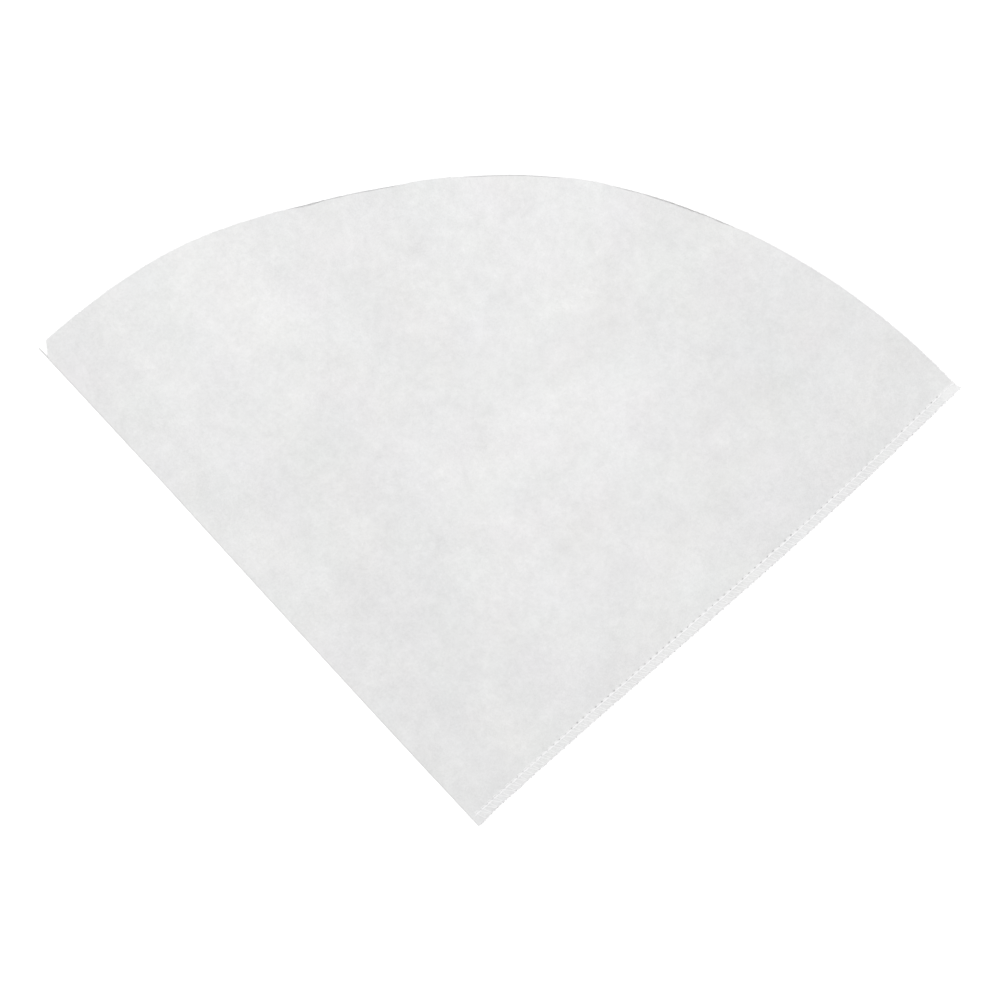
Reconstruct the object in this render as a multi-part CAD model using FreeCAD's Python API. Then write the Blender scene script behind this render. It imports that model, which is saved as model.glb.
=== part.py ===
import FreeCAD, Part
import math
import os

# A flat-packed filter cone, in millimetres.
# Half a disc of bonded cloth is folded in two along the radius that becomes the fold.
# Its two straight cut edges lie on each other and are sewn together with a three-thread
# overlock seam, so the quarter disc opens at its curved rim into a cone.
# It lies on its side: the tip points to -Y, the fold runs up to -X and the seam up to +X.
#
# Everything is drawn first in the seam's own axes: the tip is the origin, the seam runs
# along x, the fold along y, and z is up from the surface that the cone lies on.

# Driving dimensions
RADIUS = 254.0           # from the tip to the rim: the ten inch size
CLOTH = 0.45             # thickness of the bonded cloth
THREAD = 0.25            # sewing thread
STITCH = 3.175           # eight stitches to the inch
BITE = 3.4               # from the cut edges to the needle line
PUFF = 9.0               # how far the upper layer stands up in the middle of the rim
PEEK = 0.6               # how far the lower layer shows past the upper one at the rim
SEAM_INSET = 0.55        # cut edges' start inwards of the tip, for the width of the hooks
SEAM_BOW = 3.1           # how far the cut edges swell outwards between tip and rim
SEAM_FLARE = 1.8         # how far they turn outwards again at the rim
RIM_WAVE = 1.9           # hand-cut swell and dip of the rim
RIM_SWELL = 1.2          # second swell of the rim, close to the fold
TAIL = 1.6               # chain of thread left hanging past the rim

# Heights through the seam, from the ground up
GROUND_GAP = 0.05
SEAM_GAP = 0.12
SEAM_UNDER = GROUND_GAP + 2 * THREAD
SEAM_MIDDLE = SEAM_UNDER + CLOTH + SEAM_GAP / 2
UPPER_LEVEL = SEAM_UNDER + CLOTH + SEAM_GAP
SEAM_TOP = UPPER_LEVEL + CLOTH

# The pressed strip beside the seam, and where the layers have come apart again
STRIP = 5.0
RELEASE = 20.0

# Where the seam bows and flares most, and where the rim waves and swells
BOW_SHIFT = 1.72
FLARE_SHIFT = 6.0
WAVE_CENTRE = math.radians(48.5)
WAVE_WIDTH = math.radians(12.0)
SWELL_CENTRE = math.radians(75.0)
SWELL_WIDTH = math.radians(7.0)

# Stock left outside the outline before it is cut, and the height of the cutters
STOCK = 12.0
CUTTER = 40.0

QUARTER_TURN = math.radians(90.0)
SYMMETRY_TURN = 45.0     # degrees from the seam's axes to the part's own
PLIES = 3

# Points along the curves that are drawn by formula
PUFF_POINTS = 10
SEAM_POINTS = 11
RIM_POINTS = 31

# Sections through the sheet: even on the ramp, then further and further apart
RAMP_SECTIONS = 5
FREE_SECTIONS = 9
FREE_GROWTH = 1.2

# Needle holes: two legs of thread pass each one and leave its inner end open
FIRST_HOLE = 1.6
HOLES = 80
LEG = 0.4
HOLE_EASE = 0.05         # room round the thread in a hole
HOLE_LENGTH = 2 * LEG + THREAD + 2 * HOLE_EASE
HOLE_WIDTH = 0.8

# Looper threads: bights held at the needle line, and hooks that link them past the edge
BIGHT = 0.35             # from the needle line in to the upper looper's bights
CATCH = 0.2              # from the needle line in to the lower looper's bights
HOOK_LEAD = 2.3          # from each hole on towards the rim to the hook that it makes
HOOK = 0.32              # half the width of an upper looper's hook
THREAD_ROW = 1.1 * THREAD
INNER_ROW = -0.6 * THREAD
MIDDLE_ROW = INNER_ROW - THREAD_ROW
OUTER_ROW = MIDDLE_ROW - THREAD_ROW


def vector(x, y, z=0.0):
    return FreeCAD.Vector(x, y, z)


def spline(points):
    curve = Part.BSplineCurve()
    curve.interpolate(points)
    return curve.toShape()


def line(start, end):
    return Part.LineSegment(start, end).toShape()


def arc(start, middle, end):
    return Part.Arc(start, middle, end).toShape()


def release(y):
    """0 on the pressed strip, 1 where the layers lie free, with a smooth ramp between."""
    part = min(max((y - STRIP) / (RELEASE - STRIP), 0.0), 1.0)
    return part * part * (3 - 2 * part)


def puff(x, y):
    """Rise of the upper layer: every radius is straight, and the middle one is highest."""
    radius = math.hypot(x, y)
    if radius < CLOTH:
        return 0.0
    swell = (2 * x * y / radius**2) ** 2
    return PUFF * radius / RADIUS * swell * release(y)


def seam_edge(s):
    """Height in y of the cut edges, s along the seam from the tip."""
    part = min(max(s / RADIUS, 0.0), 1.0)
    bow = SEAM_BOW * math.sin(math.pi * part**BOW_SHIFT)
    return SEAM_INSET - bow - SEAM_FLARE * part**FLARE_SHIFT


def rim_radius(angle):
    """Radius of the rim, by the angle from the seam."""
    turn = (WAVE_CENTRE - angle) / WAVE_WIDTH
    wave = RIM_WAVE * turn * math.exp((1 - turn * turn) / 2)
    swell = RIM_SWELL * math.exp(-(((angle - SWELL_CENTRE) / SWELL_WIDTH) ** 2))
    return RADIUS + wave + swell


# The folded sheet

def fold_section(y):
    """Closed outline of the doubled cloth in the plane at this y, with the fold at x = 0."""
    under = SEAM_UNDER * (1 - release(y))
    bend = (SEAM_TOP - under) / 2
    middle = under + bend
    reach = RADIUS + STOCK
    outer = []
    for k in range(PUFF_POINTS):
        free = (reach - bend) * k / (PUFF_POINTS - 1)
        outer.append(vector(bend + free, y, SEAM_TOP + puff(free, y)))
    inner = [point - vector(0, 0, CLOTH) for point in outer]
    return Part.Wire([
        line(vector(reach, y, under), vector(bend, y, under)),
        arc(vector(bend, y, under), vector(0, y, middle), outer[0]),
        spline(outer),
        line(outer[-1], inner[-1]),
        spline(inner[::-1]),
        arc(inner[0], vector(CLOTH, y, middle), vector(bend, y, under + CLOTH)),
        line(vector(bend, y, under + CLOTH), vector(reach, y, under + CLOTH)),
        line(vector(reach, y, under + CLOTH), vector(reach, y, under)),
    ])


def outline():
    """Quarter disc with its bowed seam edge and waved rim, as a cutter."""
    seam = []
    for k in range(SEAM_POINTS - 1):
        s = RADIUS * k / (SEAM_POINTS - 1)
        seam.append(vector(s, seam_edge(s)))
    rim = []
    start = seam_edge(RADIUS) / RADIUS
    for k in range(RIM_POINTS):
        angle = start + (QUARTER_TURN - start) * k / (RIM_POINTS - 1)
        rim.append(vector(math.cos(angle), math.sin(angle)) * rim_radius(angle))
    seam.append(rim[0])
    outer = vector(-STOCK, rim[-1].y)
    corner = vector(-STOCK, seam[0].y)
    wire = Part.Wire([
        line(outer, corner),
        line(corner, seam[0]),
        spline(seam),
        spline(rim),
        line(rim[-1], outer),
    ])
    wire.translate(vector(0, 0, -CUTTER / 2))
    return Part.Face(wire).extrude(vector(0, 0, CUTTER))


def needle_holes():
    holes = []
    for k in range(HOLES):
        s = FIRST_HOLE + k * STITCH
        y = seam_edge(s) + BITE - THREAD / 2 - HOLE_EASE
        corner = vector(s - HOLE_LENGTH / 2, y, -CUTTER / 2)
        holes.append(Part.makeBox(HOLE_LENGTH, HOLE_WIDTH, CUTTER, corner))
    return Part.makeCompound(holes)


def filter_sheet():
    stations = [-SEAM_BOW - THREAD, STRIP]
    for k in range(1, RAMP_SECTIONS + 1):
        stations.append(STRIP + (RELEASE - STRIP) * k / RAMP_SECTIONS)
    for k in range(1, FREE_SECTIONS + 1):
        share = (k / FREE_SECTIONS) ** FREE_GROWTH
        stations.append(RELEASE + (RADIUS + STOCK - RELEASE) * share)
    blank = Part.makeLoft([fold_section(y) for y in stations], True, True).removeSplitter()
    cutter = outline()
    sheet = blank.common(cutter)
    # The upper layer is a little short of the lower one all round the rim.
    back = -PEEK / math.sqrt(2)
    spare = Part.makeBox(
        2 * STOCK + RADIUS, 2 * STOCK + RADIUS, CUTTER, vector(-STOCK, -STOCK, SEAM_MIDDLE)
    )
    sheet = sheet.cut(spare.cut(cutter.translated(vector(back, back, 0))))
    return sheet.cut(needle_holes())


# The three sewing threads, as three-ply cords with a triangular section

def seam_point(s, depth, z):
    """Place on the seam: s from the tip, depth inwards from the cut edges."""
    return vector(s, seam_edge(s) + depth, z)


def thread(points):
    """Plied thread with a triangular section, swept along straight runs with mitred corners."""
    path = Part.makePolygon(points)
    along = (points[1] - points[0]).normalize()
    side = along.cross(vector(0, 1, 0)).normalize() * (THREAD / 2)
    plies = []
    for k in range(PLIES + 1):
        turn = FreeCAD.Rotation(along, 360.0 * k / PLIES)
        plies.append(points[0] + turn.multVec(side))
    return path.makePipeShell([Part.makePolygon(plies)], True, False, 1)


def hole_place(k):
    return FIRST_HOLE + k * STITCH


def needle_thread():
    """Straight runs on top; a loop down through each hole and round the lower looper."""
    run = SEAM_TOP + 1.5 * THREAD
    loop = SEAM_UNDER - 1.5 * THREAD
    points = []
    for k in range(HOLES):
        s = hole_place(k)
        points.append(seam_point(s - LEG, BITE, run))
        points.append(seam_point(s - LEG, BITE, loop))
        points.append(seam_point(s + LEG, BITE, loop))
        points.append(seam_point(s + LEG, BITE, run))
    points.append(seam_point(RADIUS + TAIL, BITE / 3, run))
    return thread(points)


def upper_looper_thread():
    """Legs on top, each held under a needle run and hooked down over the edge."""
    lying = SEAM_TOP + THREAD / 2
    points = []
    for k in range(HOLES):
        if k > 0:
            points.append(seam_point(hole_place(k) - STITCH / 2, BITE + BIGHT, lying))
        hook = hole_place(k) + HOOK_LEAD
        points.append(seam_point(hook - HOOK, MIDDLE_ROW, lying))
        points.append(seam_point(hook - HOOK, MIDDLE_ROW, SEAM_MIDDLE))
        points.append(seam_point(hook + HOOK, MIDDLE_ROW, SEAM_MIDDLE))
        points.append(seam_point(hook + HOOK, MIDDLE_ROW, lying))
    points.append(seam_point(RADIUS + TAIL, -MIDDLE_ROW, lying))
    return thread(points)


def lower_looper_thread():
    """Legs underneath, each held in a needle loop and linked up through an upper hook."""
    lying = SEAM_UNDER - THREAD / 2
    over = SEAM_MIDDLE + THREAD_ROW
    points = []
    for k in range(HOLES):
        hook = hole_place(k) + HOOK_LEAD
        points.append(seam_point(hole_place(k), BITE + CATCH, lying))
        points.append(seam_point(hook, OUTER_ROW, lying))
        points.append(seam_point(hook, OUTER_ROW, over))
        points.append(seam_point(hook, INNER_ROW, over))
        points.append(seam_point(hook, INNER_ROW, lying))
    points.append(seam_point(RADIUS + TAIL, INNER_ROW, lying))
    return thread(points)


def laid_down(nodes):
    """Turns the cone point down on the sheet and puts the origin under its middle."""
    up = vector(0, 0, 1)
    turned = {name: node.rotated(vector(0, 0), up, SYMMETRY_TURN) for name, node in nodes.items()}
    box = Part.makeCompound(list(turned.values())).optimalBoundingBox(False, False)
    middle = vector(box.Center.x, box.Center.y)
    return {name: node.translated(-middle) for name, node in turned.items()}


os.makedirs("parts", exist_ok=True)
cone = laid_down({
    "filter_sheet": filter_sheet(),
    "needle_thread": needle_thread(),
    "upper_looper_thread": upper_looper_thread(),
    "lower_looper_thread": lower_looper_thread(),
})
for name, node in cone.items():
    node.exportStep(f"parts/{name}.step")
    print(name, "volume", round(node.Volume, 2), "mm3", node.isValid())
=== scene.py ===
# %% [markdown]
# # A non-woven filter cone, folded flat
#
# This lesson dresses a filter cone for straining hot oil. The real thing is half a disc
# of soft bonded cloth, folded once into a quarter disc and overlocked along the two cut
# edges. The CAD model gives its size and place. Here the cloth becomes a thin, slightly
# uneven sheet with needle holes, the three sewing threads get their plies, and the cut
# edges get their fine fuzz.
#
# Units are metres. Lengths that a maker would name in millimetres are written with `MM`.

# %% Load the frame
import math
import random

import bmesh
import bpy
from mathutils import Matrix, Vector, noise


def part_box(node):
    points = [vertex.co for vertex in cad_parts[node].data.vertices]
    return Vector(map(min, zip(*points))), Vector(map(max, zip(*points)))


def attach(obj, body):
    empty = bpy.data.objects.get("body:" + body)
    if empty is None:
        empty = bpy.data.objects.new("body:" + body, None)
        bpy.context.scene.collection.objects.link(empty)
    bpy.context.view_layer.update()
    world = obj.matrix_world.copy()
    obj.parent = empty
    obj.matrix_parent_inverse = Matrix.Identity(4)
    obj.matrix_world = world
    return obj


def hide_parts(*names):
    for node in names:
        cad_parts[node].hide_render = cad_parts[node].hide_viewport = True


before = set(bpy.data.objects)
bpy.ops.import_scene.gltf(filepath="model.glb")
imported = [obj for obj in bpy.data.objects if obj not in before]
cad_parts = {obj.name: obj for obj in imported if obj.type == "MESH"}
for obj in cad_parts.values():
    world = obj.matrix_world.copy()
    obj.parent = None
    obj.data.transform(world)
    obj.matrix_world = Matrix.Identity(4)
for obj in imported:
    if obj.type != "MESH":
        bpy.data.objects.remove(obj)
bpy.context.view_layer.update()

# %% [markdown]
# ## The outline, on the seam's own axes
#
# The cone is easiest to describe from its tip: `s` runs along the seam, `d` runs inwards
# from it, and `z` is up from the table. The same axes serve the cloth, the threads and the
# fuzz. Two short formulas hold the outline: the sewn edge swells a little between tip and
# rim, and the hand-cut rim waves by a couple of millimetres. A formula is easier to tune
# than a row of points.

# %% Sizes and shape formulas
MM = 0.001
RADIUS = 254.0 * MM
CLOTH = 0.45 * MM
THREAD = 0.25 * MM
STITCH = 3.175 * MM
BITE = 3.4 * MM

SEAM_INSET = 0.55 * MM
SEAM_BOW = 3.1 * MM
SEAM_FLARE = 1.8 * MM
BOW_SHIFT = 1.72
FLARE_SHIFT = 6.0
RIM_WAVE = 1.9 * MM
RIM_SWELL = 1.2 * MM
WAVE_CENTRE = math.radians(48.5)
WAVE_WIDTH = math.radians(12.0)
SWELL_CENTRE = math.radians(75.0)
SWELL_WIDTH = math.radians(7.0)

RIGHT_ANGLE = math.radians(90)


def smooth(value):
    """0 below 0, 1 above 1, and an easy ramp between."""
    value = min(max(value, 0.0), 1.0)
    return value * value * (3 - 2 * value)


def seam_edge(s):
    """Where the cut edges lie, s along the seam."""
    part = min(max(s / RADIUS, 0.0), 1.0)
    bow = SEAM_BOW * math.sin(math.pi * part**BOW_SHIFT)
    return SEAM_INSET - bow - SEAM_FLARE * part**FLARE_SHIFT


def rim_radius(angle):
    """Rim radius by the angle from the seam."""
    turn = (WAVE_CENTRE - angle) / WAVE_WIDTH
    wave = RIM_WAVE * turn * math.exp((1 - turn * turn) / 2)
    return RADIUS + wave + RIM_SWELL * math.exp(-(((angle - SWELL_CENTRE) / SWELL_WIDTH) ** 2))


print("rim from", round(rim_radius(math.radians(60)) / MM, 1), "to",
      round(rim_radius(math.radians(37)) / MM, 1), "mm")

# %% [markdown]
# ## The way into the frame
#
# The frame's own box says where all this lies. The fold ends at the left of the box, and
# the tip is at its near side, so the two give the place of the seam's origin. The seam
# and the fold each lean half a right angle to their side.

# %% From the seam's axes to the frame
HALF_TURN = RIGHT_ANGLE / 2

sheet_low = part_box("filter_sheet")[0]
TIP = Vector((sheet_low.x + rim_radius(RIGHT_ANGLE) * math.sin(HALF_TURN),
              sheet_low.y - seam_edge(0) * math.sin(HALF_TURN), 0))
TURN = Matrix.Rotation(HALF_TURN, 4, "Z")


def in_frame(s, d, z):
    """A place s along the seam, d in from the seam line and z up, in the frame."""
    return TIP + TURN @ Vector((s, d, z))


print("tip at", [round(v / MM, 2) for v in TIP], "mm")

# %% [markdown]
# ## Camera
#
# The cone lies flat, so the camera looks straight down on it from well above, with a long
# lens that keeps the outline true. It is turned a couple of degrees, because the cone
# wasn't laid down quite square.

# %% Camera over the cone
VIEW_HEIGHT = 3.2
VIEW_WIDTH = 390.8 * MM
VIEW_TURN = 2.4
VIEW_CENTRE = Vector((TIP.x + 3.4 * MM, TIP.y + 127.85 * MM, VIEW_HEIGHT))

camera_data = bpy.data.cameras.new("camera")
camera_data.lens = camera_data.sensor_width * VIEW_HEIGHT / VIEW_WIDTH
camera = bpy.data.objects.new("camera", camera_data)
camera.location = VIEW_CENTRE
camera.rotation_euler = (0, 0, math.radians(VIEW_TURN))
bpy.context.collection.objects.link(camera)
bpy.context.scene.camera = camera
bpy.context.scene.view_settings.view_transform = "Standard"
print("lens", round(camera_data.lens, 1), "mm")

# %% [markdown]
# ## The folded form
#
# Beside the seam the two layers are pressed together and raised by the threads under
# them. They come apart over a gentle ramp, and from there the lower layer rests on the
# table while the upper one puffs up towards the middle of the rim, with every radius
# straight, as on any cone.

# %% Heights through the fold
PUFF = 9.0 * MM
STRIP = 5.0 * MM
RELEASE = 20.0 * MM
SEAM_UNDER = 0.05 * MM + 2 * THREAD
SEAM_GAP = 0.12 * MM
SEAM_TOP = SEAM_UNDER + SEAM_GAP + 2 * CLOTH
SEAM_MIDDLE = (SEAM_UNDER + SEAM_TOP) / 2


def release(d):
    """0 in the pressed strip beside the seam, 1 where the layers lie free."""
    return smooth((d - STRIP) / (RELEASE - STRIP))


def puff(x, d):
    """Rise of the upper layer."""
    radius = math.hypot(x, d)
    if radius < CLOTH:
        return 0.0
    return PUFF * radius / RADIUS * (2 * x * d / radius**2) ** 2 * release(d)


print("the pressed strip is", round((SEAM_TOP - SEAM_UNDER) / MM, 2), "mm thick")

# %% [markdown]
# ## The stitches
#
# An overlock machine makes one stitch every 3.2 mm. The needle thread is pulled towards
# the cut edge, which opens the inner end of each hole. How hard it pulls changes along
# the seam. Near the tip the machine was still getting its grip, so the holes stay shut.
# They do so again on a slack stretch further on, and at the rim end, where the thread
# crowds up.

# %% Tension along the seam
FIRST_HOLE = 1.6 * MM
HOLES = 80
GRIP_REACH = 50 * MM
SLACK_PLACE = 198 * MM
SLACK_REACH = 16 * MM
SLACK_LOSS = 0.9
LATE_LOSS = 0.4
CROWD_REACH = 7.6 * MM


def tension(s):
    """Pull of the needle thread along the seam, from 0 where it is slack to 1."""
    grip = smooth((s - 0.8 * GRIP_REACH) / (0.3 * GRIP_REACH))
    slack = math.exp(-(((s - SLACK_PLACE) / SLACK_REACH) ** 2))
    crowd = smooth((s - RADIUS + CROWD_REACH) / (0.1 * CROWD_REACH))
    late = smooth((s - SLACK_PLACE) / SLACK_REACH)
    return grip * (1 - SLACK_LOSS * slack) * (1 - crowd) * (1 - LATE_LOSS * late)


print("tension at 30, 120 and 198 mm:", [round(tension(s * MM), 2) for s in (30, 120, 198)])

# %% [markdown]
# Hand-fed cloth never lets the stitches fall quite alike, so each gets its own small slips
# along and across the seam. The feed also drifts by half a millimetre: a little ahead at
# first, a little behind at the end. Each stitch notes where its hole is and how far it
# opens, where the loopers hook round the edge, where the upper looper is held inside the
# needle line, and how loosely it lies. The same list places the holes and the bends of all
# three threads, so they always meet.

# %% One list of stitches, slips in millimetres
FEED_DRIFT = 0.5 * MM
FEED_CHANGE = 1.9
ROW_SHIFT = 0.25 * MM
HOLE_SLIP = 0.1
ROW_SLIP = 0.08
HOOK_LAG = 2.3
HOOK_DRIFT = 0.5
HOOK_SLIP = 0.2
HOOK_DRIFT_SIZE = 25 * MM
BIGHT_REACH = 0.35
BIGHT_LOOSE = 0.45
LIFT = 0.08

stitch_dice = random.Random(3)
stitches = []
for k in range(HOLES):
    s = FIRST_HOLE + k * STITCH
    s += FEED_DRIFT * (1 - FEED_CHANGE * smooth((s - 0.9 * SLACK_PLACE) / (2 * SLACK_REACH)))
    grip = smooth(s / GRIP_REACH)
    drift = noise.noise(Vector((s / HOOK_DRIFT_SIZE, 0, 0)))
    stitches.append({
        "s": s + stitch_dice.uniform(-HOLE_SLIP, HOLE_SLIP) * MM,
        "row": BITE - ROW_SHIFT + stitch_dice.uniform(-ROW_SLIP, ROW_SLIP) * MM,
        "open": tension(s) * stitch_dice.uniform(0.1, 1.0),
        "hook": s + (HOOK_LAG + HOOK_DRIFT * drift
                     + stitch_dice.uniform(-HOOK_SLIP, HOOK_SLIP)) * MM,
        "bight": BITE + (BIGHT_REACH + BIGHT_LOOSE * (1 - grip) * stitch_dice.random()) * MM,
        "lift": stitch_dice.uniform(0.0, LIFT) * MM,
        "slack": 1 - grip,
    })
opened = sum(stitch["open"] > 0.3 for stitch in stitches)
print(len(stitches), "stitches,", opened, "with an open hole")

# %% [markdown]
# ## The cloth, cut flat
#
# The cloth could be modelled folded from the start, but it is far simpler to do what the
# maker does: cut it flat, punch it, then fold it. A grid gives an even net of faces, with
# closer rows near the fold and near the cut edges, where it has to bend. On the flat
# cloth `u` runs across both halves with the fold at 0, and `v` runs in from the cut edges.

# %% A graded flat net
NET = 2.0 * MM
MARGIN = 4 * MM
FOLD_NET = 0.22 * MM
FOLD_REACH = 1.7 * MM
SEAM_NET = 0.75 * MM
SEAM_REACH = 10 * MM


def graded(limit, fine, fine_reach):
    """Line places from 0 to limit: steps of fine up to fine_reach, then steps near NET."""
    fine_steps = round(fine_reach / fine)
    wide_steps = math.ceil((limit - fine_reach) / NET)
    lines = [fine_reach * k / fine_steps for k in range(fine_steps)]
    wide = [fine_reach + (limit - fine_reach) * k / wide_steps for k in range(wide_steps + 1)]
    return lines + wide


half_columns = graded(RADIUS + MARGIN, FOLD_NET, FOLD_REACH)
columns = [-u for u in half_columns[:0:-1]] + half_columns
rows = [v - MARGIN for v in graded(RADIUS + 2 * MARGIN, SEAM_NET, SEAM_REACH + MARGIN)]

net = bmesh.new()
bmesh.ops.create_grid(net, x_segments=len(columns) - 1, y_segments=len(rows) - 1, size=1.0)
for vertex in net.verts:
    column = round((vertex.co.x + 1) / 2 * (len(columns) - 1))
    row = round((vertex.co.y + 1) / 2 * (len(rows) - 1))
    vertex.co = Vector((columns[column], rows[row], 0))
outside = [face for face in net.faces
           if min(v.co.length for v in face.verts) > RADIUS + RIM_WAVE + NET]
bmesh.ops.delete(net, geom=outside, context="FACES")
print(len(net.faces), "faces in the flat net")

# %% [markdown]
# The stitches pucker the cloth every few millimetres, so the strip along the cut edges
# needs its columns closer together. Cutting only the edges that run along the strip keeps
# the rest of the net light. Then the net is given the cloth's thickness.

# %% Closer columns in the seam strip, then the thickness
PUCKER_REACH = 6 * MM

strip_edges = []
for edge in net.edges:
    start, end = (v.co for v in edge.verts)
    along_strip = abs(start.y - end.y) < FOLD_NET / 2 and start.y < PUCKER_REACH
    if along_strip and edge.calc_length() > NET / 2:
        strip_edges.append(edge)
bmesh.ops.subdivide_edges(net, edges=strip_edges, cuts=2)
bmesh.ops.solidify(net, geom=net.faces[:], thickness=CLOTH)
slab_low = min(v.co.z for v in net.verts)
bmesh.ops.translate(net, verts=net.verts[:], vec=(0, 0, -slab_low - CLOTH / 2))
bmesh.ops.recalc_face_normals(net, faces=net.faces[:])
print(len(net.faces), "faces in the slab,", len(strip_edges), "edges cut along the strip")

# %% [markdown]
# Two helpers do the cutting. An exact Boolean leaves clean, closed walls, and once it is
# applied the cutter is thrown away, so nothing hidden stays in the scene.

# %% Helpers that place a mesh and cut it
def placed(name, shape):
    """A new object with the bmesh as its mesh."""
    mesh = bpy.data.meshes.new(name)
    shape.to_mesh(mesh)
    shape.free()
    piece = bpy.data.objects.new(name, mesh)
    bpy.context.collection.objects.link(piece)
    return piece


def cut(piece, cutter, operation):
    """Apply an exact Boolean and throw the cutter away."""
    modifier = piece.modifiers.new("cut", "BOOLEAN")
    modifier.operation = operation
    modifier.solver = "EXACT"
    modifier.object = cutter
    graph = bpy.context.evaluated_depsgraph_get()
    result = bpy.data.meshes.new_from_object(piece.evaluated_get(graph))
    piece.modifiers.clear()
    piece.data = result
    bpy.data.objects.remove(cutter)


# %% [markdown]
# ## The cut rim
#
# No scissor cut is perfectly smooth, so every edge wobbles by a tenth of a millimetre.
# The half that becomes the upper layer is also cut a little short at the rim, on a few
# long slips of the scissors, and the lower layer shows past it there. Elsewhere the upper
# layer hangs over the lower one by a hair. Each slip is a middle and a reach, both in
# degrees from the seam, and a depth as a share of `PEEK`.

# %% Rim of the flat cloth
RIM_STEP = 1.5 * MM
PEEK = 0.75 * MM
PEEK_BLEND = 6 * MM
PEEK_UNEVEN = 0.6
OVERHANG = 0.06 * MM
SLIPS = ((62.4, 1.6, 1.4), (59.2, 5.3, 0.95), (44.3, 4.7, 0.95), (29.9, 5.7, 1.05))
SLIP_BLEND = 2.4
CUT_WOBBLE = 0.09 * MM
WOBBLE_SIZE = 4 * MM


def upper_share(u):
    """0 on the half that becomes the lower layer, 1 on the upper one."""
    return smooth(0.5 + u / (2 * PEEK_BLEND))


def wobble(u, v):
    """Small unevenness of a cut."""
    place = Vector((u, v, 0)) / WOBBLE_SIZE
    return CUT_WOBBLE * (noise.noise(place) + noise.noise(place / 4))


def peek(angle):
    """How far the lower layer shows at the rim, by the angle from the seam."""
    shares = []
    for middle, reach, depth in SLIPS:
        inside = reach + SLIP_BLEND / 2 - abs(math.degrees(angle) - middle)
        shares.append(depth * smooth(inside / SLIP_BLEND))
    uneven = 1 + PEEK_UNEVEN * noise.noise(Vector((angle * 25, 3, 0)))
    return (PEEK + OVERHANG) * max(shares) * uneven - OVERHANG


def rim_place(turn):
    """Rim of the flat cloth, turn from 0 at one cut edge to 180 degrees at the other."""
    angle = min(turn, 2 * RIGHT_ANGLE - turn)
    radius = rim_radius(angle)
    u = radius * math.cos(turn)
    radius -= peek(angle) * upper_share(u)
    radius += wobble(u, radius * math.sin(turn))
    return radius * math.cos(turn), radius * math.sin(turn)


SEAM_TURN = seam_edge(RADIUS) / RADIUS
rim_steps = round(2 * RIGHT_ANGLE * RADIUS / RIM_STEP)
rim_span = 2 * RIGHT_ANGLE - 2 * SEAM_TURN
rim_places = [rim_place(SEAM_TURN + rim_span * k / rim_steps) for k in range(rim_steps + 1)]
print(len(rim_places), "points round the rim")

# %% [markdown]
# Where the fold meets the rim, the corner was snipped off a few millimetres deep, and the
# scissors left a thin sliver standing along the crease. So the rim's points near the fold
# give way to six that go down into the notch, up round the sliver and down again.

# %% The snipped corner
NICK_WIDTH = 3.8 * MM
NICK_DEPTH = 4.6 * MM
NICK_SLIP = 1.0 * MM
SLIVER = 0.7 * MM


def outside_nick(u, v):
    return not -NICK_WIDTH - NICK_SLIP < u < NICK_WIDTH or v < RADIUS / 2


rim_places = [(u, v) for u, v in rim_places if outside_nick(u, v)]
sliver_end = rim_radius(RIGHT_ANGLE) - NICK_SLIP / 2
nick_end = sliver_end - NICK_DEPTH
sliver = [(1.6 * SLIVER, nick_end), (SLIVER, nick_end), (0.95 * SLIVER, sliver_end),
          (-0.95 * SLIVER, sliver_end), (-SLIVER, nick_end - NICK_SLIP),
          (-2 * SLIVER, nick_end - NICK_SLIP)]
turned = sum(u > 0 for u, v in rim_places)
rim_places[turned:turned] = sliver
print("notch", round((sliver_end - nick_end) / MM, 1), "mm deep")

# %% [markdown]
# ## The sewn edges
#
# Each hook of looper thread draws the cut edge in, and the cloth bulges out between the
# hooks. Over the first millimetres from the tip the edge stands out a little further,
# because the stitches are slack there. One prism with this whole outline cuts the slab.

# %% Cut edges and the half-disc cutter
EDGE_STEP = 0.45 * MM
BULGE = 0.2 * MM
HOOK_HOLD = 0.4
HOOK_BLEND = 0.8
FOOT = 0.5 * MM
FOOT_REACH = 9 * MM

hooks = [stitch["hook"] for stitch in stitches]


def cut_edge_place(u):
    """Cut edge of the flat cloth: drawn in by each hook of thread, bulging between them."""
    s = abs(u)
    near = min(abs(s - hook) for hook in hooks)
    bulge = BULGE * smooth((near / MM - HOOK_HOLD) / HOOK_BLEND)
    foot = FOOT * (1 - smooth((s - FOOT_REACH / 2) / (FOOT_REACH / 2)))
    return u, seam_edge(s) - bulge - foot + wobble(u, 0)


edge_steps = round(RADIUS / EDGE_STEP)
edge_right, edge_left = rim_places[0][0], rim_places[-1][0]
outline_places = [cut_edge_place(edge_left * (edge_steps - k) / edge_steps)
                  for k in range(1, edge_steps)]
outline_places += [cut_edge_place(edge_right * k / edge_steps) for k in range(edge_steps)]
outline_places += rim_places

cutter = bmesh.new()
corners = [cutter.verts.new((u, v, -MARGIN)) for u, v in outline_places]
base = cutter.faces.new(corners)
walls = bmesh.ops.extrude_face_region(cutter, geom=[base])["geom"]
lifted = [part for part in walls if isinstance(part, bmesh.types.BMVert)]
bmesh.ops.translate(cutter, verts=lifted, vec=(0, 0, 2 * MARGIN))
bmesh.ops.recalc_face_normals(cutter, faces=cutter.faces[:])
print(len(outline_places), "points round the outline")

# %% [markdown]
# ## Needle holes
#
# Each needle hole goes through both layers, so the flat cloth has it twice, once on each
# half. On top the pull of the thread drags the hole open towards the inside, so it is
# longer along the seam and its middle lies inside the needle line. Underneath, the springy
# cloth closes up again round the two strands of the thread.

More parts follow.
